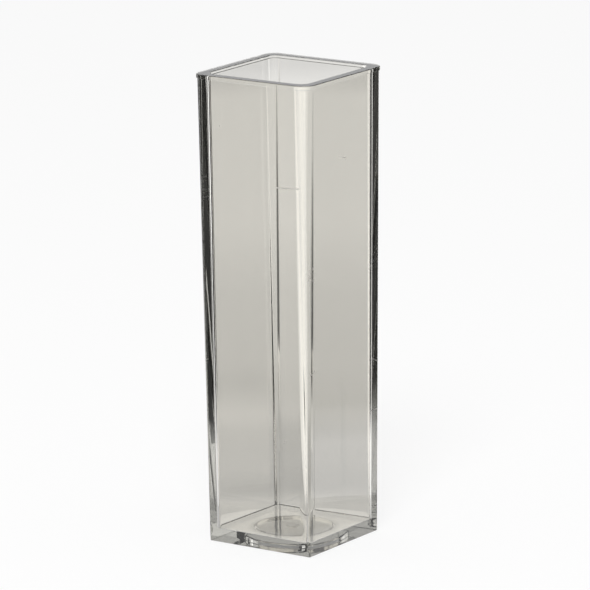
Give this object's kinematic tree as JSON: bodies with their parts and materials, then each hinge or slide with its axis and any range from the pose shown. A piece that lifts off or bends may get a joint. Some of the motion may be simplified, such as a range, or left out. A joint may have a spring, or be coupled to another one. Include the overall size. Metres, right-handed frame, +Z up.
{
  "type": "cuvette",
  "caption": "Clear square plastic cuvette, open at the top, with drafted walls, a narrow rim band and a recessed base.",
  "frame": {"origin": "middle of the base, on the plane that the base rests on", "axes": "+Z up along the well, towards the mouth; +X and +Y square to the walls"},
  "size_m": [0.013, 0.013, 0.045],
  "materials": {
    "clear_plastic": "polished clear polystyrene, faintly grey, with fine handling scratches"
  },
  "bodies": {
    "root": {"cuvette": "clear_plastic"}
  },
  "joints": []
}
